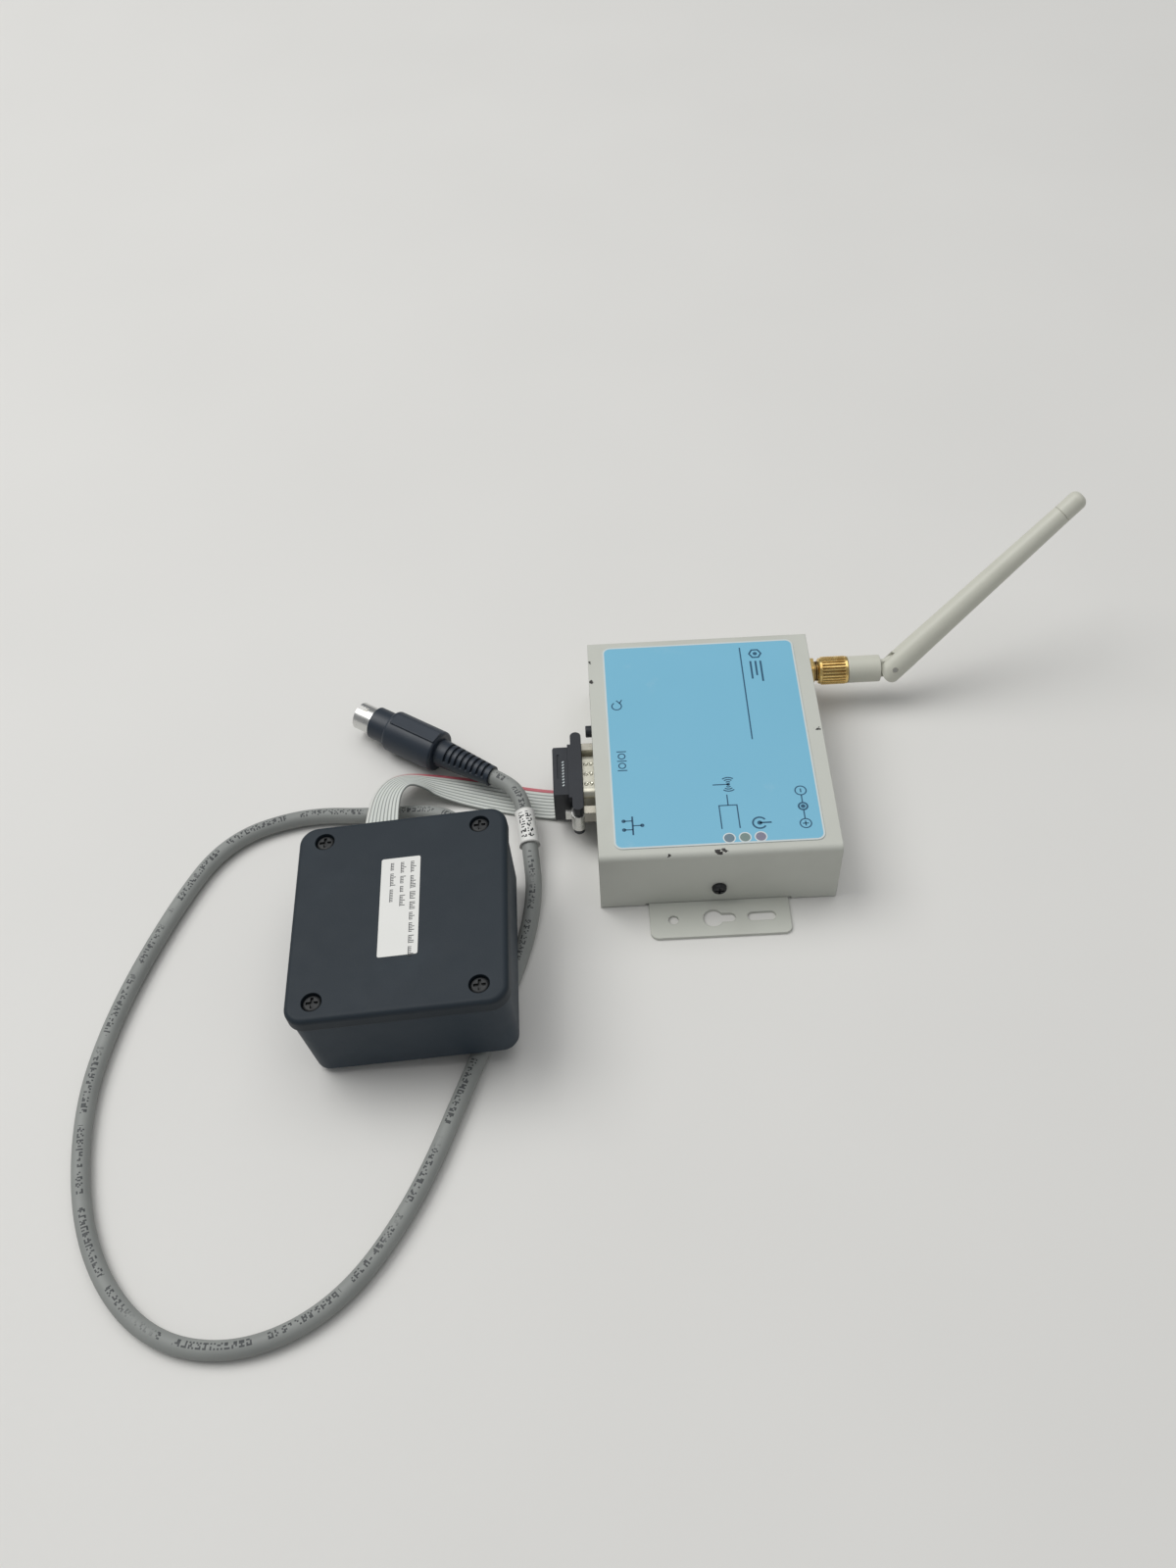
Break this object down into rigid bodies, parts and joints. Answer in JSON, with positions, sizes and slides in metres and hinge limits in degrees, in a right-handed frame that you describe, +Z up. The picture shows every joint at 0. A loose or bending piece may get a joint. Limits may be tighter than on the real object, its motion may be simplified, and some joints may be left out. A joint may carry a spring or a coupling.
{
  "type": "wireless serial device server",
  "caption": "Wireless serial interface box with a swivelling stub antenna, and a flat-cable adapter with a corded round plug.",
  "frame": {"origin": "centre of the metal case's flat underside", "axes": "+X towards the antenna side, -Y towards the status lights, +Z up"},
  "size_m": [0.308, 0.2406, 0.0593],
  "materials": {
    "case_paint": "fine satin powder coat",
    "overlay_film": "semi-gloss printed film",
    "dark_screw": "black zinc",
    "steel_parts": "plated steel",
    "bright_shell": "bright nickel",
    "gold_plate": "gold plated brass",
    "board": "solder mask",
    "chip_resin": "moulded resin",
    "black_plastic": "moulded satin",
    "box_plastic": "fine satin texture",
    "white_plastic": "moulded satin",
    "clear_plastic": "frosted acrylic",
    "cable_grey": "matte jacket",
    "flat_cable": "soft vinyl",
    "black_rubber": "moulded",
    "marker_film": "shrunk sleeve",
    "label_paper": "coated paper",
    "capacitor_can": "sleeved can"
  },
  "bodies": {
    "case": {"chassis": "case_paint", "top_cover": "case_paint", "overlay_label": "overlay_film", "cover_screws": "dark_screw", "board_standoffs": "steel_parts", "main_board": "board", "board_screws": "steel_parts", "radio_board": "board", "radio_shield": "steel_parts", "processor_chip": "chip_resin", "memory_chips": "chip_resin", "capacitors": "capacitor_can", "line_transformer": "chip_resin", "ethernet_jack": "black_plastic", "ethernet_contacts": "gold_plate", "serial_port_shell": "bright_shell", "serial_port_body": "black_plastic", "serial_port_pins": "gold_plate", "jack_posts": "steel_parts", "power_jack": "black_plastic", "power_jack_pin": "bright_shell", "reset_switch": "black_plastic", "status_leds": "clear_plastic", "light_pipes": "clear_plastic", "antenna_bulkhead": "gold_plate", "bulkhead_washer": "gold_plate", "bulkhead_nut": "gold_plate", "antenna_pigtail": "black_rubber", "ribbon_plug_body": "black_plastic", "ribbon_plug_cover": "black_plastic", "ribbon_plug_shell": "bright_shell", "ribbon_plug_contacts": "gold_plate", "ribbon_plug_clip": "steel_parts", "ribbon_cable": "flat_cable", "box_base": "box_plastic", "box_lid": "box_plastic", "lid_screws": "dark_screw", "box_label": "label_paper", "adapter_board": "board", "adapter_spacers": "black_plastic", "adapter_parts": "chip_resin", "ribbon_header": "black_plastic", "cord_grommet": "black_rubber", "grey_cord": "cable_grey", "marker_sleeve": "marker_film", "plug_strain_relief": "black_rubber", "plug_body": "black_rubber", "plug_shell": "bright_shell", "plug_insert": "black_plastic", "plug_pins": "gold_plate"},
    "reset_button": {"reset_button": "black_plastic"},
    "coupling_nut": {"coupling_nut": "gold_plate"},
    "antenna_swivel": {"antenna_sleeve": "white_plastic", "antenna_ferrule": "gold_plate"},
    "antenna_arm": {"radome": "white_plastic", "radome_tip": "white_plastic", "antenna_element": "gold_plate", "hinge_pin": "steel_parts"}
  },
  "joints": [
    {"name": "reset_press", "type": "slide", "parent": "case", "child": "reset_button", "axis": [1, 0, 0], "range_m": [0, 0.0008], "stiffness_N_per_m": 600, "springref_m": -0.001},
    {"name": "coupling_turn", "type": "hinge", "parent": "case", "child": "coupling_nut", "pos_m": [0.045, 0.0373, 0.0125], "axis": [1, 0, 0], "continuous": true},
    {"name": "antenna_turn", "type": "hinge", "parent": "case", "child": "antenna_swivel", "pos_m": [0.055, 0.0373, 0.0125], "axis": [1, 0, 0], "continuous": true},
    {"name": "antenna_tilt", "type": "hinge", "parent": "antenna_swivel", "child": "antenna_arm", "pos_m": [0.0648, 0.0373, 0.0125], "axis": [0, -0.848, 0.5299], "range_deg": [-42, 48]}
  ]
}
